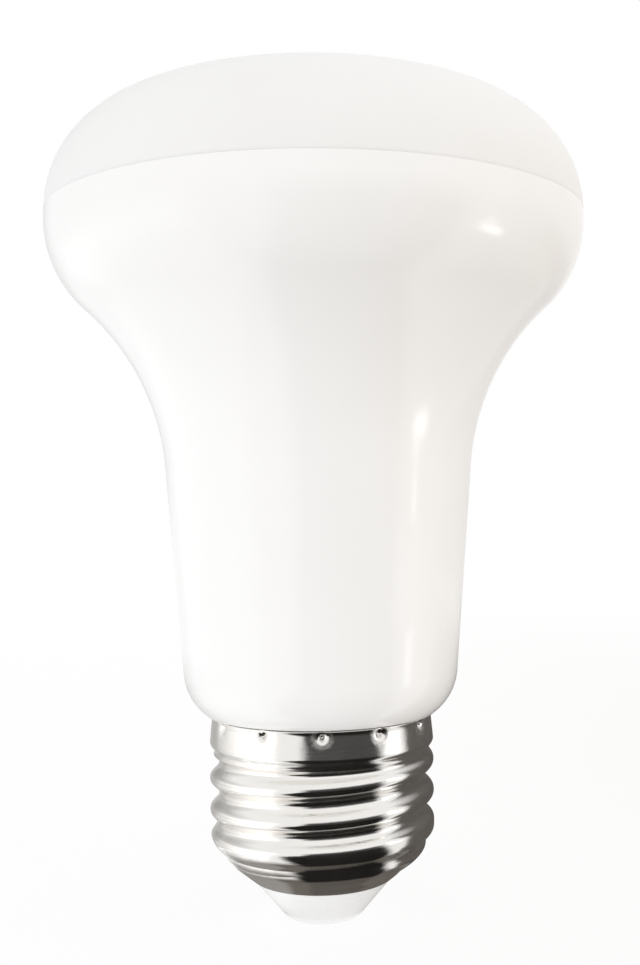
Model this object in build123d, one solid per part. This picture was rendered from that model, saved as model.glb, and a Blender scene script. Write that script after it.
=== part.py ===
"""LED reflector lamp with an Edison screw base, at real size in millimetres.

The lamp stands along +Z: centre contact, tail insulator, screw shell, housing, diffuser dome.
The origin is the centre of the contact's end face. Every piece is round about Z, apart from
the rolled thread and the ring of crimp dimples on the screw shell.
"""

import os
from math import ceil, cos, radians, sin, sqrt

from build123d import *

# Diffuser dome
dome_shoulder_radius = 12.9
dome_crown_radius = 75.0
dome_lip_depth = 3.0
dome_lip_clearance = 0.05
seam_step = 0.07
seam_chamfer = 0.08

# Housing
rim_radius = 31.5
rim_wall = 1.8
rim_band = 1.0
shoulder_radius = 12.5
flare_radius = 28.0
stem_taper_deg = 4.5
heel_radius = 6.5
heel_width = 2.3
heel_overhang = 0.25
housing_length = 57.9
neck_clearance = 0.1

# Screw shell
shell_length = 19.3
shell_wall = 0.35
thread_pitch = 25.4 / 7
thread_depth = 1.05
crest_radius = 13.2
groove_floor_width = 0.7
groove_width = 3.0
groove_start_height = 1.15
groove_run_out_height = 1.9
collar_height = 3.5
collar_inset = 0.15
collar_edge_height = 0.15
collar_edge_inset = 0.12
collar_groove_depth = 0.55
collar_groove_width = 1.5
collar_groove_drop = 0.1
mouth_radius = 8.4
mouth_height = 2.7
shoulder_inset = 1.5
shoulder_height = 2.4
dimple_count = 12
dimple_radius = 0.7
dimple_depth = 0.4
dimple_drop = 0.86

# Tail insulator
insulator_length = 4.6
insulator_end_radius = 4.4
insulator_end_rounding = 0.6
insulator_clearance = 0.1

# Centre contact
contact_radius = 2.8
contact_height = 0.4
contact_edge_chamfer = 0.2
shank_radius = 1.2
shank_length = 2.6
shank_clearance = 0.05

# Heights above the contact's end face
insulator_end_z = contact_height
mouth_z = insulator_end_z + insulator_length
collar_top_z = mouth_z + shell_length
seam_z = collar_top_z + housing_length

# Radii that two pieces share
root_radius = crest_radius - thread_depth
collar_radius = crest_radius - collar_inset
bore_radius = root_radius - shell_wall
recess_radius = rim_radius - rim_wall

# The shell's mouth widens in two cones, and its bore starts inside the upper one
mouth_top_z = mouth_z + mouth_height
mouth_top_radius = crest_radius - shoulder_inset
bore_z = mouth_top_z + shoulder_height * (bore_radius + shell_wall - mouth_top_radius) / shoulder_inset


def lines(*points):
    """Straight edges from point to point."""
    return [Line(start, end) for start, end in zip(points, points[1:])]


def turned(edges):
    """A solid of revolution about Z from the edges of a closed outline, drawn as radius and height."""
    return revolve(make_face(Plane.XZ * Wire(edges)), Axis.Z)


def build_diffuser_dome():
    """Opal dome: a shallow crown blended by a shoulder into the rim, over a lip that drops into the housing."""
    base_radius = rim_radius - seam_step
    shoulder_centre_r = base_radius - dome_shoulder_radius
    centre_gap = dome_crown_radius - dome_shoulder_radius
    crown_centre_z = seam_z - sqrt(centre_gap**2 - shoulder_centre_r**2)
    blend = dome_crown_radius / centre_gap
    crown_edge = (shoulder_centre_r * blend, crown_centre_z + (seam_z - crown_centre_z) * blend)
    pole = (0, crown_centre_z + dome_crown_radius)
    shoulder_low_r = shoulder_centre_r + sqrt(dome_shoulder_radius**2 - seam_chamfer**2)
    shoulder_low = (shoulder_low_r, seam_z + seam_chamfer)
    ledge = (shoulder_low_r - seam_chamfer, seam_z)
    lip_radius = recess_radius - dome_lip_clearance
    lip_z = seam_z - dome_lip_depth
    return turned(
        [
            RadiusArc(pole, crown_edge, dome_crown_radius),
            RadiusArc(crown_edge, shoulder_low, dome_shoulder_radius),
            *lines(
                shoulder_low, ledge, (lip_radius, seam_z), (lip_radius, lip_z), (0, lip_z), pole
            ),
        ]
    )


def build_housing():
    """Moulded housing: heel, tapered stem, concave flare, convex shoulder and rim, with a neck for the shell."""
    taper = radians(stem_taper_deg)
    up_stem = Vector(sin(taper), cos(taper))
    off_stem = Vector(cos(taper), -sin(taper))

    # The heel's arc starts over the collar's edge and ends tangent to the stem
    heel_edge = Vector(collar_radius + heel_overhang, collar_top_z)
    foot = heel_edge + Vector(heel_width, 0)
    offset = foot - off_stem * heel_radius - heel_edge
    along = offset.dot(up_stem)
    heel_top = foot + up_stem * (sqrt(along**2 - offset.dot(offset) + heel_radius**2) - along)

    # The flare's arc is tangent to the stem and to the shoulder's arc
    shoulder_centre = Vector(rim_radius - shoulder_radius, seam_z - rim_band)
    centre_gap = flare_radius + shoulder_radius
    offset = foot + off_stem * flare_radius - shoulder_centre
    along = offset.dot(up_stem)
    flare_low = foot - up_stem * (sqrt(along**2 - offset.dot(offset) + centre_gap**2) + along)
    flare_centre = flare_low + off_stem * flare_radius
    flare_high = shoulder_centre + (flare_centre - shoulder_centre) * (shoulder_radius / centre_gap)

    rim_low = (rim_radius, seam_z - rim_band)
    rim_high = (rim_radius, seam_z - seam_chamfer)
    rim_top = (rim_radius - seam_chamfer, seam_z)
    recess_z = seam_z - dome_lip_depth
    neck_radius = bore_radius - neck_clearance
    return turned(
        [
            RadiusArc(heel_edge, heel_top, -heel_radius),
            Line(heel_top, flare_low),
            RadiusArc(flare_low, flare_high, flare_radius),
            RadiusArc(flare_high, rim_low, -shoulder_radius),
            *lines(
                rim_low,
                rim_high,
                rim_top,
                (recess_radius, seam_z),
                (recess_radius, recess_z),
                (0, recess_z),
                (0, bore_z),
                (neck_radius, bore_z),
                (neck_radius, collar_top_z),
                heel_edge,
            ),
        ]
    )


def build_screw_shell():
    """Sheet-metal screw shell: conical mouth, rolled helical thread and a collar crimped with dimples."""
    # The blank, before its thread is rolled
    shoulder_top_z = mouth_top_z + shoulder_height
    thread_top_z = collar_top_z - collar_height
    shell = turned(
        lines(
            (mouth_radius, mouth_z),
            (mouth_top_radius, mouth_top_z),
            (crest_radius, shoulder_top_z),
            (crest_radius, thread_top_z),
            (collar_radius, thread_top_z + collar_edge_height),
            (collar_radius, collar_top_z - collar_edge_height),
            (collar_radius - collar_edge_inset, collar_top_z),
            (bore_radius, collar_top_z),
            (bore_radius, bore_z),
            (mouth_top_radius - shell_wall, mouth_top_z),
            (mouth_radius - shell_wall, mouth_z),
            (mouth_radius, mouth_z),
        )
    )

    # Half a turn of the groove, out past the crest
    half_pitch = thread_pitch / 2
    flank = (groove_width - groove_floor_width) / 2 / (crest_radius - root_radius)
    tool_radius = crest_radius + shell_wall
    floor_half = groove_floor_width / 2
    mouth_half = floor_half + flank * (tool_radius - root_radius)
    outline = Polyline(
        (tool_radius, -mouth_half),
        (root_radius, -floor_half),
        (root_radius, floor_half),
        (tool_radius, mouth_half),
        close=True,
    )
    helix = Helix(thread_pitch, half_pitch, root_radius)
    half_turn = sweep(make_face(Plane.XZ * outline), path=helix, is_frenet=True)

    # The collar keeps its form: below it the groove runs out on a cone
    run_out_z = thread_top_z - groove_run_out_height
    run_out_slope = (crest_radius - root_radius) / groove_run_out_height
    keep_radius = tool_radius + shell_wall
    keep_low_z = run_out_z - (root_radius - bore_radius) / run_out_slope
    keep_out = turned(
        lines(
            (0, keep_low_z),
            (bore_radius, keep_low_z),
            (keep_radius, run_out_z + (keep_radius - root_radius) / run_out_slope),
            (keep_radius, collar_top_z + thread_pitch),
            (0, collar_top_z + thread_pitch),
            (0, keep_low_z),
        )
    )
    start_z = mouth_z + groove_start_height
    half_turns = ceil((thread_top_z + groove_width / 2 - start_z) / half_pitch)
    for index in range(half_turns):
        floor_z = start_z + index * half_pitch
        groove = Pos(0, 0, floor_z) * Rot(0, 0, 180 * index) * half_turn
        if floor_z + half_pitch + mouth_half > run_out_z:
            groove = groove - keep_out
        shell = shell - groove

    # A ring groove sets the collar off from the thread
    ring_z = thread_top_z - collar_groove_drop - collar_groove_width / 2
    ring_slope = collar_groove_width / 2 / collar_groove_depth
    ring_floor_radius = crest_radius - collar_groove_depth
    ring_half = ring_slope * (tool_radius - ring_floor_radius)
    ring = turned(
        lines(
            (tool_radius, ring_z - ring_half),
            (ring_floor_radius, ring_z),
            (tool_radius, ring_z + ring_half),
            (tool_radius, ring_z - ring_half),
        )
    )
    shell = shell - ring

    # Crimp dimples from a pointed punch
    punch = Cone(2 * dimple_radius, 0, 2 * dimple_depth)
    punch = Pos(collar_radius, 0, collar_top_z - dimple_drop) * Rot(0, -90, 0) * punch
    return shell - [Rot(0, 0, index * 360 / dimple_count) * punch for index in range(dimple_count)]


def build_tail_insulator():
    """Moulded insulator: a plug in the shell's conical mouth, a cone below it and a hole for the contact."""
    plug_gap = shell_wall + insulator_clearance
    hole_radius = shank_radius + shank_clearance
    hole_z = insulator_end_z + shank_length + shank_clearance
    body = turned(
        lines(
            (0, insulator_end_z),
            (insulator_end_radius, insulator_end_z),
            (mouth_radius - insulator_clearance, mouth_z),
            (mouth_radius - plug_gap, mouth_z),
            (mouth_top_radius - plug_gap, mouth_top_z),
            (bore_radius - insulator_clearance, bore_z),
            (0, bore_z),
            (0, insulator_end_z),
        )
    )
    end_edge = body.edges().group_by(Axis.Z)[0]
    body = fillet(end_edge, insulator_end_rounding)
    return body - Pos(0, 0, hole_z) * Cylinder(hole_radius, 2 * (hole_z - insulator_end_z))


def build_centre_contact():
    """Contact rivet: a flat head under the insulator's end, on a shank in its hole."""
    head = Cylinder(contact_radius, contact_height, align=(Align.CENTER, Align.CENTER, Align.MIN))
    head = chamfer(head.edges().group_by(Axis.Z)[0], contact_edge_chamfer)
    shank_height = contact_height + shank_length
    shank = Cylinder(shank_radius, shank_height, align=(Align.CENTER, Align.CENTER, Align.MIN))
    return head + shank


pieces = {
    "diffuser_dome": build_diffuser_dome(),
    "housing": build_housing(),
    "screw_shell": build_screw_shell(),
    "tail_insulator": build_tail_insulator(),
    "centre_contact": build_centre_contact(),
}

os.makedirs("parts", exist_ok=True)
for name, piece in pieces.items():
    export_step(piece, f"parts/{name}.step")
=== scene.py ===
from math import atan2, copysign, cos, exp, log, pi, radians, sin, sqrt

import bmesh
import bpy
from mathutils import Matrix, Vector


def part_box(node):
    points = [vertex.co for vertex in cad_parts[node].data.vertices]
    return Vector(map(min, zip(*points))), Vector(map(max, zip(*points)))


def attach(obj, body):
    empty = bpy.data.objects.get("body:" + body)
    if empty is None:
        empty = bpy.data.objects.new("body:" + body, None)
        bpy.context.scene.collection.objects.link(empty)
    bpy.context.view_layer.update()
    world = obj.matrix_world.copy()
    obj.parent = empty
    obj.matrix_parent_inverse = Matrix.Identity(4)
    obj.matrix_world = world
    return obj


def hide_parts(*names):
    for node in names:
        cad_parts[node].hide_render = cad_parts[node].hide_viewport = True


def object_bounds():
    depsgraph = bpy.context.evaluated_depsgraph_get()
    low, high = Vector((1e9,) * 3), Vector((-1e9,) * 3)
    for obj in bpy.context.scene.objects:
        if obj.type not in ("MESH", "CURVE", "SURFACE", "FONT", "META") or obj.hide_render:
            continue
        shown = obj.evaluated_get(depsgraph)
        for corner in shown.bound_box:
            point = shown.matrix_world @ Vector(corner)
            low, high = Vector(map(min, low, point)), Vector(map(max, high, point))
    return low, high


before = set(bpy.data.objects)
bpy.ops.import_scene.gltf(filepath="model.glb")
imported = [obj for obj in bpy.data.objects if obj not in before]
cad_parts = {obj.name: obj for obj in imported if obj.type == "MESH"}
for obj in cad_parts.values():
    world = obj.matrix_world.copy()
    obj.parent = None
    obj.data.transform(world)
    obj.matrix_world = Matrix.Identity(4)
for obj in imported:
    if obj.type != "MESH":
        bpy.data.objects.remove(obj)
cad_low, cad_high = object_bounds()

# Centre contact
# A tinned brass rivet, turned and pressed into the end of the tail insulator. Its flat head meets
# the spring of the lamp holder, and its shank stays hidden in the insulator's hole.
MM = 0.001
contact_low, contact_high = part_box("centre_contact")
contact_radius = contact_high.x
contact_head_height = 0.4 * MM
contact_edge_radius = 0.2 * MM
contact_edge_steps = 4
shank_radius = 1.2 * MM
dull_tin = (0.62, 0.61, 0.58)
bright_tin = (0.74, 0.73, 0.70)
fine_turn = 256
weld_distance = 0.001 * MM
sharp_corner = radians(35)


def arc(start, end, radius, steps):
    """Points from start to end on an arc. Going up an outer wall, a positive radius bulges outwards."""
    start, end = Vector(start), Vector(end)
    chord = end - start
    to_centre = Vector((-chord.y, chord.x)).normalized()
    offset = sqrt(max(radius**2 - chord.length_squared / 4, 0))
    centre = (start + end) / 2 + to_centre * copysign(offset, radius)
    first = atan2(start.y - centre.y, start.x - centre.x)
    last = atan2(end.y - centre.y, end.x - centre.x)
    turn = (last - first + pi) % (2 * pi) - pi
    angles = [first + turn * step / steps for step in range(steps + 1)]
    return [centre + abs(radius) * Vector((cos(angle), sin(angle))) for angle in angles]


def turned(name, outline, angles):
    """A closed piece turned about Z from an outline of radius and height; a radius of 0 is a pole."""
    shape = bmesh.new()
    rows = []
    for radius, height in outline:
        if radius == 0:
            rows.append([shape.verts.new((0, 0, height))] * len(angles))
        else:
            rows.append([shape.verts.new((radius * cos(a), radius * sin(a), height)) for a in angles])
    for row, above in zip(rows, rows[1:] + rows[:1]):
        for i in range(len(angles)):
            # At a pole two corners of a face are one and the same
            corners = dict.fromkeys([row[i - 1], row[i], above[i], above[i - 1]])
            if len(corners) > 2:
                shape.faces.new(corners)
    bmesh.ops.remove_doubles(shape, verts=shape.verts, dist=weld_distance)
    bmesh.ops.recalc_face_normals(shape, faces=shape.faces)
    for face in shape.faces:
        face.smooth = True
    mesh = bpy.data.meshes.new(name)
    shape.to_mesh(mesh)
    shape.free()
    mesh.set_sharp_from_angle(angle=sharp_corner)
    piece = bpy.data.objects.new(name, mesh)
    bpy.context.scene.collection.objects.link(piece)
    return piece


def even_turn(count):
    """Evenly spaced angles once round."""
    return [2 * pi * i / count for i in range(count)]


def add_node(tree, kind, inputs=(), **settings):
    """A node with its settings, and its inputs given as values or as other nodes' outputs."""
    node = tree.nodes.new(kind)
    for key, value in settings.items():
        setattr(node, key, value)
    for key, value in dict(inputs).items():
        if isinstance(value, bpy.types.NodeSocket):
            tree.links.new(value, node.inputs[key])
        else:
            node.inputs[key].default_value = value
    return node


def new_finish(name, **sockets):
    """A material with its shader's plain values set, and its tree and shader for what varies."""
    material = bpy.data.materials.new(name)
    material.use_nodes = True
    tree = material.node_tree
    shader = tree.nodes["Principled BSDF"]
    for key, value in sockets.items():
        shader.inputs[key.replace("_", " ")].default_value = value
    return material, tree, shader


def noise(tree, scale, stretch=(1, 1, 1)):
    """Noise on the piece's own coordinates, with about so many grains a metre."""
    place = add_node(tree, "ShaderNodeTexCoord").outputs["Object"]
    mapped = add_node(tree, "ShaderNodeMapping", {"Vector": place, "Scale": stretch}).outputs["Vector"]
    texture = add_node(tree, "ShaderNodeTexNoise", {"Vector": mapped, "Scale": scale, "Detail": 3.0})
    return texture.outputs["Fac"]


def span(tree, value, low, high, start=0.35, end=0.65):
    """A value spread from start and end, by default the middle of a noise, to low and high."""
    inputs = {"Value": value, "From Min": start, "From Max": end, "To Min": low, "To Max": high}
    return add_node(tree, "ShaderNodeMapRange", inputs).outputs["Result"]


def tint(tree, value, first, second, start=0.35, end=0.65):
    """A colour that goes from first to second as a value goes from start to end."""
    ramp = add_node(tree, "ShaderNodeValToRGB", {"Fac": value})
    low, high = ramp.color_ramp.elements
    low.position, high.position = start, end
    low.color, high.color = (*first, 1), (*second, 1)
    return ramp.outputs["Color"]


def roughen(tree, shader, pattern, depth):
    """Fine relief on a shader, from a pattern and its depth in metres."""
    bump = add_node(tree, "ShaderNodeBump", {"Height": pattern, "Distance": depth, "Strength": 1.0})
    tree.links.new(bump.outputs["Normal"], shader.inputs["Normal"])


def clouded_finish(name, cloud, colours, roughness, grain, grain_depth, **sockets):
    """A finish that drifts between two colours and two roughnesses, with a fine grain in relief."""
    material, tree, shader = new_finish(name, **sockets)
    drift = noise(tree, cloud)
    tree.links.new(tint(tree, drift, *colours), shader.inputs["Base Color"])
    tree.links.new(span(tree, drift, *roughness), shader.inputs["Roughness"])
    roughen(tree, shader, noise(tree, grain), grain_depth)
    return material


def contact_outline():
    """The rivet's section, from the middle of its flat head round to the end of its shank."""
    edge_start = (contact_radius - contact_edge_radius, contact_low.z)
    edge_end = (contact_radius, contact_low.z + contact_edge_radius)
    return [
        (0, contact_low.z),
        *arc(edge_start, edge_end, contact_edge_radius, contact_edge_steps),
        (contact_radius, contact_head_height),
        (shank_radius, contact_head_height),
        (shank_radius, contact_high.z),
        (0, contact_high.z),
    ]


def tinned_finish():
    """Dull tin, a little clouded, with a fine grain."""
    return clouded_finish(
        "tinned_rivet",
        cloud=900,
        colours=(dull_tin, bright_tin),
        roughness=(0.3, 0.45),
        grain=4000,
        grain_depth=0.004 * MM,
        Metallic=1.0,
    )


contact_rivet = turned("contact_rivet", contact_outline(), even_turn(fine_turn // 2))
contact_rivet.data.materials.append(tinned_finish())
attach(contact_rivet, "root")
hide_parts("centre_contact")

# Tail insulator
# A white moulding that plugs the mouth of the screw shell and keeps the centre contact away from it.
# Its cone comes out of the shell and ends in a rounded edge round the contact.
insulator_low, insulator_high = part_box("tail_insulator")
shell_low, shell_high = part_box("screw_shell")
mouth_radius = 8.4 * MM
mouth_height = 2.7 * MM
crest_radius = shell_high.x
thread_depth = 1.05 * MM
shell_wall = 0.35 * MM
shoulder_inset = 1.5 * MM
insulator_end_radius = 4.4 * MM
insulator_rounding = 0.6 * MM
insulator_rounding_steps = 8
insulator_cone_start = 0.3
insulator_cone_steps = 6
insulator_clearance = 0.1 * MM
shank_clearance = 0.05 * MM
insulator_white = (0.915, 0.915, 0.91)
insulator_bright_white = (0.93, 0.93, 0.925)
root_radius = crest_radius - thread_depth
bore_radius = root_radius - shell_wall
mouth_top_radius = crest_radius - shoulder_inset
mouth_z = shell_low.z
mouth_top_z = mouth_z + mouth_height


def line(start, end, steps):
    """Points from start to end on a straight line."""
    start, end = Vector(start), Vector(end)
    return [start.lerp(end, step / steps) for step in range(steps + 1)]


def insulator_outline():
    """The moulding's section, from the top of the contact's hole round to the top of the plug."""
    hole_radius = shank_radius + shank_clearance
    hole_z = contact_high.z + shank_clearance
    plug_gap = shell_wall + insulator_clearance
    end_corner = Vector((insulator_end_radius, insulator_low.z))
    cone_top = Vector((mouth_radius - insulator_clearance, mouth_z))
    along_cone = (cone_top - end_corner).normalized()
    tangent_length = insulator_rounding * (1 - along_cone.x) / along_cone.y
    round_start = end_corner - Vector((tangent_length, 0))
    round_end = end_corner + along_cone * tangent_length
    return [
        (0, hole_z),
        (hole_radius, hole_z),
        (hole_radius, insulator_low.z),
        *arc(round_start, round_end, insulator_rounding, insulator_rounding_steps),
        *line(end_corner.lerp(cone_top, insulator_cone_start), cone_top, insulator_cone_steps),
        (mouth_radius - plug_gap, mouth_z),
        (mouth_top_radius - plug_gap, mouth_top_z),
        (bore_radius - insulator_clearance, insulator_high.z),
        (0, insulator_high.z),
    ]


def moulded_white_finish():
    """White moulding compound, a little uneven in tone, with a soft gloss."""
    return clouded_finish(
        "moulded_white",
        cloud=300,
        colours=(insulator_white, insulator_bright_white),
        roughness=(0.26, 0.3),
        grain=2500,
        grain_depth=0.003 * MM,
        IOR=1.5,
    )


tail_moulding = turned("tail_moulding", insulator_outline(), even_turn(fine_turn))
tail_moulding.data.materials.append(moulded_white_finish())
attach(tail_moulding, "root")
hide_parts("tail_insulator")

# Screw shell
# A cup of thin brass sheet, nickel-plated, with the Edison thread rolled into its wall. Its plain collar
# is pushed over the housing's neck and held there by a ring of punched dimples.
thread_pitch = 25.4 / 7 * MM
groove_start_height = 0.95 * MM
flank_share = 0.05
shoulder_height = 2.4 * MM
cone_blend_height = 2.9 * MM
cone_depth_share = 0.45
cone_groove_power = 3.0
mouth_plain_height = 0.5 * MM
mouth_blend_height = 2.0 * MM
wall_bend_reach = 0.8 * MM
collar_height = 3.5 * MM
collar_inset = 0.15 * MM
collar_edge_radius = 0.12 * MM
collar_edge_steps = 6
collar_flare = 0.1 * MM
collar_flare_height = 0.6 * MM
collar_bend_reach = 0.25 * MM
seat_gap = 0.18 * MM
run_out_height = 1.9 * MM
collar_groove_depth = 0.55 * MM
collar_groove_width = 1.5 * MM
collar_groove_drop = 0.1 * MM
collar_groove_reach = 1.15 * MM
dimple_count = 12
dimple_drop = 0.86 * MM
pull_radius = 1.9 * MM
pull_depth = 0.05 * MM
dish_radius = 0.85 * MM
dish_depth = 0.3 * MM
pit_radius = 0.4 * MM
pit_depth = 0.2 * MM
nickel = (0.84, 0.82, 0.79)
bright_nickel = (0.88, 0.86, 0.83)
bend_steps = 8
row_step = 0.13 * MM
fine_row_step = 0.09 * MM
columns_per_dimple = 30
column_gather = 0.6
collar_radius = crest_radius - collar_inset
collar_top_z = shell_high.z
collar_edge_z = collar_top_z - seat_gap
thread_top_z = collar_top_z - collar_height
collar_groove_z = thread_top_z - collar_groove_drop - collar_groove_width / 2
shoulder_top_z = mouth_top_z + shoulder_height
bore_z = insulator_high.z


def steps_along(start, end, step):
    """Points along a line, about a step apart."""
    length = (Vector(end) - Vector(start)).length
    return line(start, end, max(round(length / step), 1))


def eased_corner(before, corner, after, reach):
    """A corner of an outline eased by a curve that starts and ends within reach of it."""
    start = corner + (before - corner).normalized() * reach
    end = corner + (after - corner).normalized() * reach
    return [
        start.lerp(corner, share).lerp(corner.lerp(end, share), share)
        for share in [step / bend_steps for step in range(bend_steps + 1)]
    ]


def shell_bore_outline():
    """The cup's bore, from the collar's edge down to the mouth."""
    return [
        (bore_radius, collar_edge_z),
        (bore_radius, bore_z),
        (mouth_top_radius - shell_wall, mouth_top_z),
        (mouth_radius - shell_wall, mouth_z),
    ]


def shell_wall_outline():
    """The cup's outer wall before its thread is rolled, from the mouth up to the collar's edge."""
    mouth_edge = Vector((mouth_radius, mouth_z))
    mouth_top = Vector((mouth_top_radius, mouth_top_z))
    shoulder_top = Vector((crest_radius, shoulder_top_z))
    thread_top = Vector((crest_radius, thread_top_z))
    flare_foot = Vector((collar_radius - collar_flare, collar_top_z - collar_flare_height))
    flare_top = Vector((collar_radius, collar_edge_z - collar_edge_radius))
    edge_end = Vector((collar_radius - collar_edge_radius, collar_edge_z))
    lower_bend = eased_corner(mouth_edge, mouth_top, shoulder_top, wall_bend_reach)
    upper_bend = eased_corner(mouth_top, shoulder_top, thread_top, wall_bend_reach)
    collar_bend = eased_corner(thread_top, flare_foot, flare_top, collar_bend_reach)
    return [
        *steps_along(mouth_edge, lower_bend[0], row_step),
        *lower_bend,
        *steps_along(lower_bend[-1], upper_bend[0], row_step),
        *upper_bend,
        *steps_along(upper_bend[-1], thread_top, row_step),
        *steps_along(thread_top, collar_bend[0], fine_row_step),
        *collar_bend,
        *steps_along(collar_bend[-1], flare_top, fine_row_step),
        *arc(flare_top, edge_end, collar_edge_radius, collar_edge_steps),
    ]


def gathered_turn(count, columns, gather):
    """Angles once round, closer together at each of count places."""
    shares = [(step + 0.5) / columns - 0.5 for step in range(columns)]
    eased = [share - gather * sin(2 * pi * share) / (2 * pi) for share in shares]
    return [2 * pi * (place + share) / count for place in range(count) for share in eased]


def math_node(tree, operation, first, second=0.0):
    """The result of a calculation with one or two values."""
    return add_node(tree, "ShaderNodeMath", {0: first, 1: second}, operation=operation).outputs[0]


def roll_and_crimp_tree():
    """Rolls the groove into the outer wall along its helix, and punches the dimples round the collar."""
    tree = bpy.data.node_groups.new("roll_and_crimp", "GeometryNodeTree")
    sizes = {
        "Pitch": thread_pitch,
        "Groove Depth": thread_depth,
        "Groove Height": mouth_z + groove_start_height,
        "Cone Low": shoulder_top_z,
        "Cone High": shoulder_top_z + cone_blend_height,
        "Cone Share": cone_depth_share,
        "Mouth Low": mouth_z + mouth_plain_height,
        "Mouth High": mouth_z + mouth_blend_height,
        "Run Out Low": thread_top_z - run_out_height,
        "Run Out High": thread_top_z,
        "Ring Height": collar_groove_z,
        "Ring Reach": collar_groove_reach,
        "Ring Depth": collar_groove_depth,
        "Dimple Count": float(dimple_count),
        "Dimple Height": collar_top_z - dimple_drop,
        "Pull Radius": pull_radius,
        "Pull Depth": pull_depth,
        "Dish Radius": dish_radius,
        "Dish Depth": dish_depth,
        "Pit Radius": pit_radius,
        "Pit Depth": pit_depth,
    }
    tree.interface.new_socket("Geometry", in_out="INPUT", socket_type="NodeSocketGeometry")
    for name, value in sizes.items():
        socket = tree.interface.new_socket(name, in_out="INPUT", socket_type="NodeSocketFloat")
        socket.default_value = value
    tree.interface.new_socket("Plating", in_out="INPUT", socket_type="NodeSocketMaterial")
    tree.interface.new_socket("Geometry", in_out="OUTPUT", socket_type="NodeSocketGeometry")
    given = tree.nodes.new("NodeGroupInput").outputs

    def calc(operation, first, second=0.0):
        return math_node(tree, operation, first, second)

    def ease(value, start, end, low, high):
        inputs = {"Value": value, "From Min": start, "From Max": end, "To Min": low, "To Max": high}
        eased = add_node(tree, "ShaderNodeMapRange", inputs, interpolation_type="SMOOTHSTEP")
        return eased.outputs["Result"]

    place = add_node(tree, "GeometryNodeInputPosition").outputs["Position"]
    x, y, z = add_node(tree, "ShaderNodeSeparateXYZ", {"Vector": place}).outputs
    angle = calc("ARCTAN2", y, x)
    radius = calc("SQRT", calc("ADD", calc("MULTIPLY", x, x), calc("MULTIPLY", y, y)))

    # The groove's rounded section, once a pitch along the helix, with flanks a little steeper than a wave's
    climb = calc("DIVIDE", calc("SUBTRACT", z, given["Groove Height"]), given["Pitch"])
    phase = calc("SUBTRACT", calc("MULTIPLY", climb, 2 * pi), angle)
    flanks = calc("MULTIPLY", calc("COSINE", calc("MULTIPLY", phase, 3.0)), flank_share)
    swell = calc("SUBTRACT", calc("COSINE", phase), flanks)
    section = calc("ADD", calc("MULTIPLY", swell, 0.5 / (1 - flank_share)), 0.5)

    # On the lower cone the groove grows shallower and narrower
    on_cone = ease(z, given["Cone Low"], given["Cone High"], given["Cone Share"], 1.0)
    narrowing = calc("SUBTRACT", cone_groove_power, calc("MULTIPLY", on_cone, cone_groove_power - 1))
    section = calc("POWER", calc("MAXIMUM", section, 0.0), narrowing)
    off_mouth = ease(z, given["Mouth Low"], given["Mouth High"], 0.0, 1.0)
    below_collar = ease(z, given["Run Out Low"], given["Run Out High"], 1.0, 0.0)
    reach = calc("MULTIPLY", calc("MULTIPLY", on_cone, off_mouth), below_collar)
    groove = calc("MULTIPLY", calc("MULTIPLY", section, given["Groove Depth"]), reach)

    # The ring groove that sets the collar off from the thread
    from_ring = calc("ABSOLUTE", calc("SUBTRACT", z, given["Ring Height"]))
    ring = ease(from_ring, 0.0, given["Ring Reach"], given["Ring Depth"], 0.0)
    groove = calc("MAXIMUM", groove, ring)

    # One dimple in each equal share of the turn: a dish with a pit, and the wall pulled in round it
    share = calc("MULTIPLY", angle, calc("DIVIDE", given["Dimple Count"], 2 * pi))
    across = calc("DIVIDE", calc("SUBTRACT", share, calc("ROUND", share)), given["Dimple Count"])
    across = calc("MULTIPLY", calc("MULTIPLY", across, 2 * pi), radius)
    along = calc("SUBTRACT", z, given["Dimple Height"])
    away = calc("SQRT", calc("ADD", calc("MULTIPLY", across, across), calc("MULTIPLY", along, along)))
    pull = ease(away, 0.0, given["Pull Radius"], given["Pull Depth"], 0.0)
    dish = ease(away, 0.0, given["Dish Radius"], given["Dish Depth"], 0.0)
    pit = ease(away, 0.0, given["Pit Radius"], given["Pit Depth"], 0.0)
    crimp = calc("ADD", calc("ADD", pull, dish), pit)

    # The outer wall is pressed in towards the axis, and the strained ring round each dimple is marked
    outer = add_node(tree, "GeometryNodeInputNamedAttribute", {"Name": "outer"}, data_type="FLOAT")
    pressed = calc("MULTIPLY", calc("ADD", groove, crimp), outer.outputs[0])
    inward = calc("DIVIDE", calc("MULTIPLY", pressed, -1.0), radius)
    inward_x = calc("MULTIPLY", x, inward)
    inward_y = calc("MULTIPLY", y, inward)
    offset = add_node(tree, "ShaderNodeCombineXYZ", {"X": inward_x, "Y": inward_y})
    near_dish = ease(away, given["Dish Radius"], given["Pull Radius"], 1.0, 0.0)
    off_pit = ease(away, given["Pit Radius"], given["Dish Radius"], 0.0, 1.0)
    marked = add_node(
        tree,
        "GeometryNodeStoreNamedAttribute",
        {"Geometry": given["Geometry"], "Name": "strain", "Value": calc("MULTIPLY", near_dish, off_pit)},
        data_type="FLOAT",
        domain="POINT",
    )
    moved = add_node(
        tree, "GeometryNodeSetPosition", {"Geometry": marked.outputs[0], "Offset": offset.outputs[0]}
    )
    whole = add_node(tree, "GeometryNodeRealizeInstances", {"Geometry": moved.outputs[0]})
    plated = add_node(
        tree, "GeometryNodeSetMaterial", {"Geometry": whole.outputs[0], "Material": given["Plating"]}
    )
    add_node(tree, "NodeGroupOutput", {"Geometry": plated.outputs[0]})
    return tree


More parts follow.
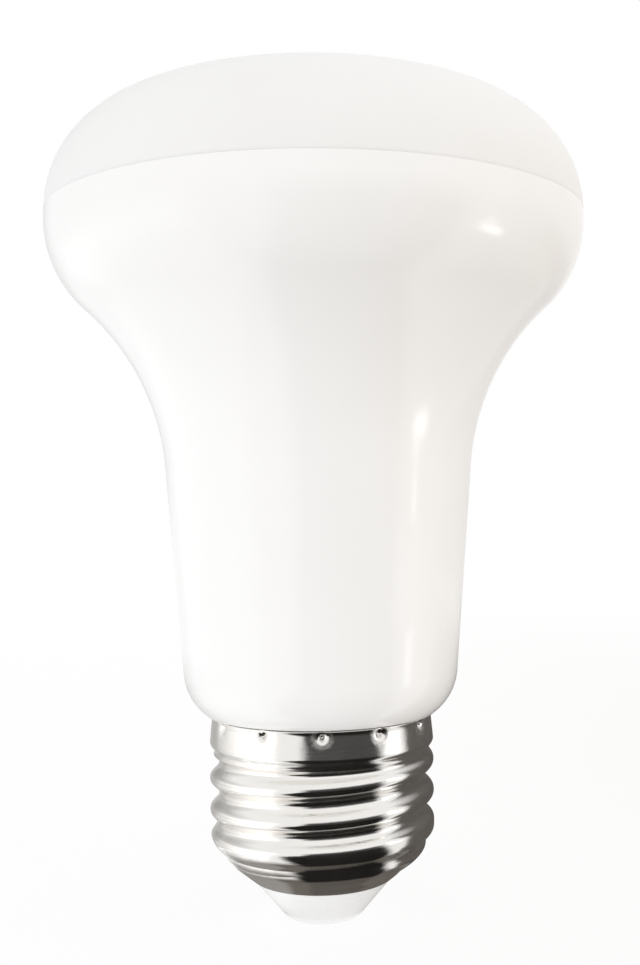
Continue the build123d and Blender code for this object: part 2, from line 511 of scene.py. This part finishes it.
def nickel_finish():
    """Bright nickel: fine marks round the shell, a soft handling haze, and frost round the dimples."""
    material, tree, shader = new_finish("bright_nickel", Metallic=1.0)
    haze = noise(tree, scale=160)
    marks = noise(tree, scale=1.0, stretch=(60, 60, 9000))
    tree.links.new(tint(tree, haze, nickel, bright_nickel), shader.inputs["Base Color"])
    worn = math_node(tree, "MULTIPLY", haze, marks)
    plain = span(tree, worn, low=0.1, high=0.2, start=0.15, end=0.4)
    strain = add_node(tree, "ShaderNodeAttribute", attribute_name="strain").outputs["Fac"]
    speckled = math_node(tree, "MULTIPLY", strain, noise(tree, scale=2600))
    frost = span(tree, speckled, low=0.0, high=0.2, start=0.15, end=0.5)
    tree.links.new(math_node(tree, "ADD", plain, frost), shader.inputs["Roughness"])
    ripple = noise(tree, scale=900, stretch=(1, 1, 2))
    roughen(tree, shader, ripple, depth=0.012 * MM)
    return material


bore_rows = shell_bore_outline()
shell_turn = gathered_turn(dimple_count, columns_per_dimple, column_gather)
threaded_shell = turned("threaded_shell", [*bore_rows, *shell_wall_outline()], shell_turn)
wall_flags = threaded_shell.data.attributes.new("outer", "FLOAT", "POINT")
bore_count = len(bore_rows) * len(shell_turn)
for index, flag in enumerate(wall_flags.data):
    flag.value = float(index >= bore_count)
rolling = threaded_shell.modifiers.new("roll_and_crimp", "NODES")
rolling.node_group = roll_and_crimp_tree()
plating_socket = next(item for item in rolling.node_group.interface.items_tree if item.name == "Plating")
rolling[plating_socket.identifier] = nickel_finish()
rolled = bpy.data.meshes.new_from_object(
    threaded_shell.evaluated_get(bpy.context.evaluated_depsgraph_get())
)
threaded_shell.modifiers.remove(rolling)
threaded_shell.data = rolled
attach(threaded_shell, "root")
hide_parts("screw_shell")

# Housing
# A glossy white moulding over the lamp's heat spreader. Its slim stem has a rounded heel over the
# shell's collar and flares into a bulging shoulder, whose rim holds the dome.
housing_low, housing_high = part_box("housing")
rim_radius = housing_high.x
seam_z = housing_high.z
rim_wall = 1.8 * MM
rim_band = 1.0 * MM
shoulder_radius = 12.5 * MM
flare_radius = 28.0 * MM
stem_taper = radians(4.5)
heel_radius = 6.5 * MM
heel_width = 2.3 * MM
heel_overhang = 0.42 * MM
neck_clearance = 0.1 * MM
dome_lip_depth = 3.0 * MM
heel_steps = 20
stem_steps = 24
flare_steps = 36
shoulder_steps = 36
housing_white = (0.885, 0.885, 0.88)
housing_bright_white = (0.90, 0.90, 0.896)
recess_radius = rim_radius - rim_wall


def housing_outline():
    """The moulding's section, from the foot of its neck round to the floor of the rim's recess."""
    up_stem = Vector((sin(stem_taper), cos(stem_taper)))
    off_stem = Vector((cos(stem_taper), -sin(stem_taper)))

    # The heel's arc starts over the collar's edge and ends tangent to the stem
    heel_edge = Vector((collar_radius + heel_overhang, collar_top_z))
    foot = heel_edge + Vector((heel_width, 0))
    offset = foot - off_stem * heel_radius - heel_edge
    along = offset.dot(up_stem)
    heel_top = foot + up_stem * (sqrt(along**2 - offset.length_squared + heel_radius**2) - along)

    # The flare's arc is tangent to the stem and to the shoulder's arc
    rim_low = Vector((rim_radius, seam_z - rim_band))
    shoulder_centre = rim_low - Vector((shoulder_radius, 0))
    centre_gap = flare_radius + shoulder_radius
    offset = foot + off_stem * flare_radius - shoulder_centre
    along = offset.dot(up_stem)
    flare_low = foot - up_stem * (sqrt(along**2 - offset.length_squared + centre_gap**2) + along)
    flare_centre = flare_low + off_stem * flare_radius
    flare_high = shoulder_centre + (flare_centre - shoulder_centre) * (shoulder_radius / centre_gap)

    neck_radius = bore_radius - neck_clearance
    recess_z = seam_z - dome_lip_depth
    return [
        (0, housing_low.z),
        (neck_radius, housing_low.z),
        (neck_radius, collar_top_z),
        *arc(heel_edge, heel_top, heel_radius, heel_steps),
        *line(heel_top, flare_low, stem_steps)[1:],
        *arc(flare_low, flare_high, -flare_radius, flare_steps)[1:],
        *arc(flare_high, rim_low, shoulder_radius, shoulder_steps)[1:],
        (rim_radius, seam_z),
        (recess_radius, seam_z),
        (recess_radius, recess_z),
        (0, recess_z),
    ]


def glossy_white_finish():
    """Glossy white plastic: a faint ripple from the mould and a slight drift in tone and gloss."""
    return clouded_finish(
        "glossy_white",
        cloud=60,
        colours=(housing_white, housing_bright_white),
        roughness=(0.11, 0.16),
        grain=350,
        grain_depth=0.004 * MM,
        IOR=1.5,
    )


housing_moulding = turned("housing_moulding", housing_outline(), even_turn(fine_turn))
housing_moulding.data.materials.append(glossy_white_finish())
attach(housing_moulding, "root")
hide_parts("housing")

# Diffuser dome
# A moulded opal dome that spreads the light of the LEDs behind it. Its satin face is a shallow crown
# with a rounded shoulder, and its lip drops into the housing's rim, where it is glued.
dome_low, dome_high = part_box("diffuser_dome")
dome_shoulder_radius = 12.9 * MM
dome_crown_radius = 75.0 * MM
seam_step = 0.02 * MM
dome_lip_clearance = 0.05 * MM
dome_shoulder_steps = 36
dome_crown_steps = 24
opal = (0.842, 0.842, 0.838)
bright_opal = (0.854, 0.854, 0.85)


def dome_outline():
    """The dome's section, from the underside of its lip round to the pole."""
    base_radius = rim_radius - seam_step
    shoulder_centre = Vector((base_radius - dome_shoulder_radius, seam_z))
    crown_centre = Vector((0, dome_high.z - dome_crown_radius))
    blend = dome_crown_radius / (dome_crown_radius - dome_shoulder_radius)
    crown_edge = crown_centre + (shoulder_centre - crown_centre) * blend
    lip_radius = recess_radius - dome_lip_clearance
    pole = Vector((0, dome_high.z))
    return [
        (0, dome_low.z),
        (lip_radius, dome_low.z),
        (lip_radius, seam_z),
        *arc((base_radius, seam_z), crown_edge, dome_shoulder_radius, dome_shoulder_steps),
        *arc(crown_edge, pole, dome_crown_radius, dome_crown_steps)[1:-1],
        pole,
    ]


def opal_finish():
    """Opal plastic: satin, milky to a small depth, with a fine moulded grain."""
    return clouded_finish(
        "opal_plastic",
        cloud=80,
        colours=(opal, bright_opal),
        roughness=(0.38, 0.46),
        grain=2200,
        grain_depth=0.003 * MM,
        IOR=1.5,
        Subsurface_Weight=0.5,
        Subsurface_Radius=(1.0, 0.97, 0.94),
        Subsurface_Scale=0.4 * MM,
        Specular_IOR_Level=0.25,
    )


opal_dome = turned("opal_dome", dome_outline(), even_turn(fine_turn))
opal_dome.data.materials.append(opal_finish())
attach(opal_dome, "root")
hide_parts("diffuser_dome")

# Floor and white surroundings
# A wide white sheet under the lamp and plain white all round it. Seen directly or in a mirror they are
# close to white, and the floor keeps the lamp's soft shadow. The light they give is warmer at the right.
# For the rays that light the lamp the floor glows, most near its base and warm brown at the right: painted
# light.
floor_radius = 3.0
floor_corners = 96
floor_drop = 0.02 * MM
shown_white_near = 0.9
shown_white_far = 1.0
shown_white_reach = (0.1, 0.4)
floor_glow_near = 0.95
floor_glow_far = 0.7
floor_glow_reach = (0.01, 0.04)
paper_white = (0.93, 0.93, 0.93)
painted_warm_light = (0.64, 0.57, 0.5)
painted_warm_reach = (0.0, 0.08)
room_front = 1.2
room_back = 0.8
room_top = 0.82
top_reach = (0.2, 0.9)
room_left = 0.93
room_right = 1.3
plain_white = (1, 1, 1)
room_warm = (1, 0.975, 0.945)
room_warm_start = 0.4
mix_sockets = {"FLOAT": (2, 3, 0), "RGBA": (6, 7, 2)}


def mix(tree, kind, share, first, second):
    """A mix of two values or two colours, all first where the share is 0 and all second where it is 1."""
    first_socket, second_socket, result_socket = mix_sockets[kind]
    inputs = {0: share, first_socket: first, second_socket: second}
    return add_node(tree, "ShaderNodeMix", inputs, data_type=kind).outputs[result_socket]


def mix_shaders(tree, share, first, second):
    """A mix of what two shader nodes give, in the same way."""
    inputs = {0: share, 1: first.outputs[0], 2: second.outputs[0]}
    return add_node(tree, "ShaderNodeMixShader", inputs).outputs[0]


def sees_background(tree):
    """1 for rays from the camera, a reflection or glass, and 0 for the rays that light things."""
    path = add_node(tree, "ShaderNodeLightPath").outputs
    camera_or_mirror = math_node(tree, "MAXIMUM", path["Is Camera Ray"], path["Is Glossy Ray"])
    return math_node(tree, "MAXIMUM", camera_or_mirror, path["Is Transmission Ray"])


def floor_finish():
    """White paper, mostly shown as plain white, the rest lit to hold a shadow; a painted glow, brown at the
    right, lights the lamp.
    """
    material = bpy.data.materials.new("white_paper")
    material.use_nodes = True
    tree = material.node_tree
    tree.nodes.clear()
    place = add_node(tree, "ShaderNodeTexCoord").outputs["Object"]
    across = add_node(tree, "ShaderNodeSeparateXYZ", {"Vector": place}).outputs["X"]
    away = add_node(tree, "ShaderNodeVectorMath", {0: place}, operation="LENGTH").outputs["Value"]
    # Painted warm light: the sheet turns brown towards the right, so its glow lights that side of the lamp
    # warmer
    sheet = tint(tree, span(tree, across, 0.0, 1.0, *painted_warm_reach), paper_white, painted_warm_light, 0.0, 1.0)
    paper = add_node(tree, "ShaderNodeBsdfDiffuse", {"Color": sheet})
    seen = sees_background(tree)
    glow = mix(tree, "RGBA", seen, sheet, (*plain_white, 1))
    white = add_node(tree, "ShaderNodeEmission", {"Color": glow, "Strength": 1.0})
    shown = span(tree, away, shown_white_near, shown_white_far, *shown_white_reach)
    # Painted light: for the rays that light the lamp the floor mostly glows, most of all close round the
    # lamp
    lighting = span(tree, away, floor_glow_near, floor_glow_far, *floor_glow_reach)
    share = mix(tree, "FLOAT", seen, lighting, shown)
    add_node(tree, "ShaderNodeOutputMaterial", {"Surface": mix_shaders(tree, share, paper, white)})
    return material


def white_room():
    """Plain white where it is seen, with more light from the front and right than from the back and top."""
    world = bpy.data.worlds.new("white_room")
    world.use_nodes = True
    tree = world.node_tree
    tree.nodes.clear()
    direction = add_node(tree, "ShaderNodeTexCoord").outputs["Generated"]
    to_right, to_back, upward = add_node(tree, "ShaderNodeSeparateXYZ", {"Vector": direction}).outputs
    level = span(tree, to_back, room_front, room_back, -1.0, 1.0)
    level = math_node(tree, "MULTIPLY", level, span(tree, upward, 1.0, room_top, *top_reach))
    level = math_node(tree, "MULTIPLY", level, span(tree, to_right, room_left, room_right, -1.0, 1.0))
    side = span(tree, to_right, 0.0, 1.0, -1.0, 1.0)
    warmth = tint(tree, side, plain_white, room_warm, room_warm_start, 1.0)
    lit = add_node(tree, "ShaderNodeBackground", {"Color": warmth, "Strength": level})
    plain = add_node(tree, "ShaderNodeBackground", {"Color": (*plain_white, 1), "Strength": 1.0})
    seen = sees_background(tree)
    add_node(tree, "ShaderNodeOutputWorld", {"Surface": mix_shaders(tree, seen, lit, plain)})
    return world


floor_shape = bmesh.new()
bmesh.ops.create_circle(floor_shape, cap_ends=True, segments=floor_corners, radius=floor_radius)
bmesh.ops.translate(floor_shape, verts=floor_shape.verts, vec=(0, 0, -floor_drop))
floor_mesh = bpy.data.meshes.new("floor")
floor_shape.to_mesh(floor_mesh)
floor_shape.free()
floor = bpy.data.objects.new("floor", floor_mesh)
bpy.context.scene.collection.objects.link(floor)
floor.data.materials.append(floor_finish())
bpy.context.scene.world = white_room()

# Reflection cards
# Cards out of the picture that show only in reflections. Dark ones give the bright metal something to
# mirror, glowing ones put the streaks and spots on the plastic, and two white flags hide a glowing card
# from places that shouldn't mirror it. Each fades out at its sides.
card_steps = 72
card_lift = 0.2 * MM
under_lift = 0.1 * MM
heel_flag_lift = 32 * MM
bulge_distance = 34 * MM
bulge_spread = 0.65
card_black = (0.014, 0.013, 0.012)
card_dark = (0.05, 0.05, 0.05)
card_brown = (0.07, 0.058, 0.05)
card_dim = (0.12, 0.11, 0.1)
card_dim_brown = (0.12, 0.1, 0.085)
card_grey = (0.2, 0.2, 0.2)
card_taupe = (0.17, 0.155, 0.14)
half_turn = 180
ring_overlap = 0.001


def toward(azimuth, distance, height):
    """A place round the lamp, by its angle to the right of the way to the camera."""
    return Vector((sin(radians(azimuth)) * distance, -cos(radians(azimuth)) * distance, height))


def card_cover(azimuth, first, last, soft):
    """1 in the middle of a card, easing to 0 over a soft edge on either side."""
    share = min(azimuth - first, last - azimuth) / soft
    share = min(max(share, 0.0), 1.0)
    return share * share * (3 - 2 * share)


def level_points(*places, lift=card_lift):
    """Points of a level card, by default just over the floor, from millimetres out and covers."""
    return [(distance * MM, lift, cover) for distance, cover in places]


def upright_points(distance, *places):
    """Points of a card that stands at a distance in millimetres, from millimetres up and covers."""
    return [(distance * MM, height * MM, cover) for height, cover in places]


def reflection_card(name, first, last, soft, section, colour=(0, 0, 0), glow=0.0, bulge=0):
    """A card between two azimuths, over points of distance, height and cover, with soft sides.

    Its left side may bulge out by some degrees, most at the bulge distance.
    """
    shape = bmesh.new()
    cover_layer = shape.verts.layers.float.new("cover")
    rows = []
    for distance, height, cover in section:
        left = first - bulge * exp(-((log(distance / bulge_distance) / bulge_spread) ** 2))
        azimuths = [left + (last - left) * step / card_steps for step in range(card_steps + 1)]
        row = [shape.verts.new(toward(azimuth, distance, height)) for azimuth in azimuths]
        for azimuth, vertex in zip(azimuths, row):
            vertex[cover_layer] = cover * card_cover(azimuth, left, last, soft)
        rows.append(row)
    for row, above in zip(rows, rows[1:]):
        for i in range(card_steps):
            shape.faces.new([row[i], row[i + 1], above[i + 1], above[i]])
    mesh = bpy.data.meshes.new(name)
    shape.to_mesh(mesh)
    shape.free()
    material, tree, shader = new_finish(
        name,
        Base_Color=(*colour, 1),
        Roughness=1.0,
        Specular_IOR_Level=0.0,
        Emission_Color=(*plain_white, 1),
        Emission_Strength=glow,
    )
    covered = add_node(tree, "ShaderNodeAttribute", attribute_name="cover").outputs["Fac"]
    tree.links.new(covered, shader.inputs["Alpha"])
    mesh.materials.append(material)
    card = bpy.data.objects.new(name, mesh)
    card.visible_camera = False
    card.visible_diffuse = False
    card.visible_shadow = False
    bpy.context.scene.collection.objects.link(card)


# Dark cards in front of the lamp, for the black bands in the thread and the collar
reflection_card(
    "front_card",
    first=-23,
    last=64,
    soft=11,
    section=[
        *level_points((5, 0.35), (9.4, 0.35)),
        *level_points(*[(distance, 1) for distance in (10.4, 14, 20, 26, 34, 44, 58)]),
        *level_points((90, 0.97), (200, 0.95)),
        *upright_points(200, (35, 0.93), (60, 0)),
    ],
    colour=card_black,
    bulge=18,
)
reflection_card(
    "front_wall",
    first=-25,
    last=66,
    soft=16,
    section=upright_points(210, (15, 0), (30, 0.6), (70, 0.55), (100, 0)),
    colour=card_dark,
)

# Dim cards to the right, to the left and behind, for the brown sides of the metal
reflection_card(
    "right_card",
    first=66,
    last=180,
    soft=9,
    section=[
        *level_points((13, 0), (16, 0.94), (25, 0.94)),
        *upright_points(25, (25, 0.92), (37, 0)),
    ],
    colour=card_brown,
)
reflection_card(
    "left_back_card",
    first=-180,
    last=-52,
    soft=60,
    section=[
        *level_points((13, 0), (16, 0.55), (25, 0.55)),
        *upright_points(25, (24, 0.55), (30, 0)),
    ],
    colour=card_dim,
)
reflection_card(
    "right_wall",
    first=94,
    last=192,
    soft=16,
    section=upright_points(300, (1, 0.25), (50, 0.25), (80, 0)),
    colour=card_dim_brown,
)
reflection_card(
    "back_card",
    first=160,
    last=228,
    soft=20,
    section=upright_points(400, (20, 0), (60, 0.35), (300, 0.35), (420, 0)),
    colour=card_grey,
)

# Glowing cards: a wide one at the left, and small ones for the streaks at the right of stem and heel
reflection_card(
    "left_glow_card",
    first=-135,
    last=-40,
    soft=14,
    section=[
        *level_points((5, 0.12), (16, 0.12), (24, 1), (60, 1), (110, 0.4), (170, 0.7)),
        *upright_points(170, (40, 1), (80, 0)),
    ],
    glow=1.5,
)
reflection_card(
    "right_glow_card",
    first=66,
    last=82,
    soft=5,
    section=upright_points(170, (1, 0), (6, 1), (19, 1), (24, 0)),
    glow=6.0,
)
reflection_card(
    "thin_glow_card",
    first=68,
    last=74,
    soft=2.5,
    section=upright_points(170, (22, 0), (27, 1), (36, 1), (41, 0)),
    glow=4.0,
)
reflection_card(
    "heel_glow_card",
    first=56,
    last=66,
    soft=4,
    section=upright_points(42, (18, 0), (21, 1), (27, 1), (31, 0)),
    glow=2.8,
)

# White flags: one keeps a glowing card from the middle of the stem, and one from the flare
reflection_card(
    "stem_flag",
    first=48,
    last=76,
    soft=2,
    section=upright_points(50, (27, 0), (29, 1), (41, 1), (44, 0)),
    glow=1.0,
)
reflection_card(
    "heel_flag",
    first=48,
    last=74,
    soft=2,
    section=level_points((28, 1), (45, 1), lift=heel_flag_lift),
    glow=1.0,
)

# A ring on the floor round the contact, for the brown band above the shell's mouth
reflection_card(
    "under_card",
    first=-half_turn - ring_overlap,
    last=half_turn + ring_overlap,
    soft=ring_overlap,
    section=level_points((4.8, 1), (13, 1), (20, 0), lift=under_lift),
    colour=card_taupe,
)

# Studio lamps
# Weak soft fills that light the bulb and don't show in it: a wide sheet and a small light on the floor
# at the left, a soft strip above them, and a small light at the height of the dome at the right.
middle_place = Vector((0, 0, (cad_low.z + cad_high.z) / 2))
seam_place = Vector((0, 0, seam_z))
sheet_place = toward(-62, 0.23, 2 * MM)
near_place = toward(-70, 22 * MM, 1 * MM)
straight_up = Vector((0, 0, 1))
cold_white = (0.95, 0.975, 1.0)
cool_white = (0.97, 0.985, 1.0)
warm_white = (1.0, 0.99, 0.97)


def soft_lamp(name, place, target, size, power, colour):
    """A rectangular light that faces a target, and that neither the camera nor a mirror sees."""
    light = bpy.data.lights.new(name, "AREA")
    light.shape = "RECTANGLE"
    light.size, light.size_y = size
    light.energy = power
    light.color = colour
    holder = bpy.data.objects.new(name, light)
    holder.location = place
    holder.rotation_euler = (target - place).to_track_quat("-Z", "Y").to_euler()
    holder.visible_camera = False
    holder.visible_glossy = False
    bpy.context.scene.collection.objects.link(holder)


soft_lamp(
    "left_sheet",
    place=sheet_place,
    target=sheet_place + straight_up,
    size=(0.3, 0.3),
    power=0.048,
    colour=cold_white,
)
soft_lamp(
    "left_near",
    place=near_place,
    target=near_place + straight_up,
    size=(0.03, 0.03),
    power=0.0011,
    colour=cool_white,
)
soft_lamp(
    "left_strip",
    place=toward(-60, 0.17, 0.03),
    target=middle_place,
    size=(0.05, 0.07),
    power=0.014,
    colour=cool_white,
)
soft_lamp(
    "right_strip",
    place=toward(70, 0.17, 0.09),
    target=seam_place,
    size=(0.04, 0.04),
    power=0.009,
    colour=warm_white,
)

# Camera
# Close to the bulb and level with its middle, looking up by less than a degree, as in the photograph.
# The frame is shifted sideways, because the photograph's optical centre isn't in its middle.
photo_height = 965
focal_pixels = 1225.0
off_centre_pixels = 58.0
sensor = 36.0
camera_place = Vector((0, -0.14602, 0.04921))
camera_turn = radians(-2.749)
camera_tilt = radians(90.788)
camera_roll = radians(-0.665)
camera_data = bpy.data.cameras.new("camera")
camera_data.sensor_width = sensor
camera_data.lens = focal_pixels / photo_height * sensor
camera_data.clip_start = 0.01
camera_data.shift_x = -off_centre_pixels / photo_height
camera = bpy.data.objects.new("camera", camera_data)
camera.matrix_world = (
    Matrix.Translation(camera_place)
    @ Matrix.Rotation(camera_turn, 4, "Z")
    @ Matrix.Rotation(camera_tilt, 4, "X")
    @ Matrix.Rotation(camera_roll, 4, "Z")
)
bpy.context.scene.collection.objects.link(camera)
bpy.context.scene.camera = camera
bpy.context.scene.view_settings.view_transform = "Standard"
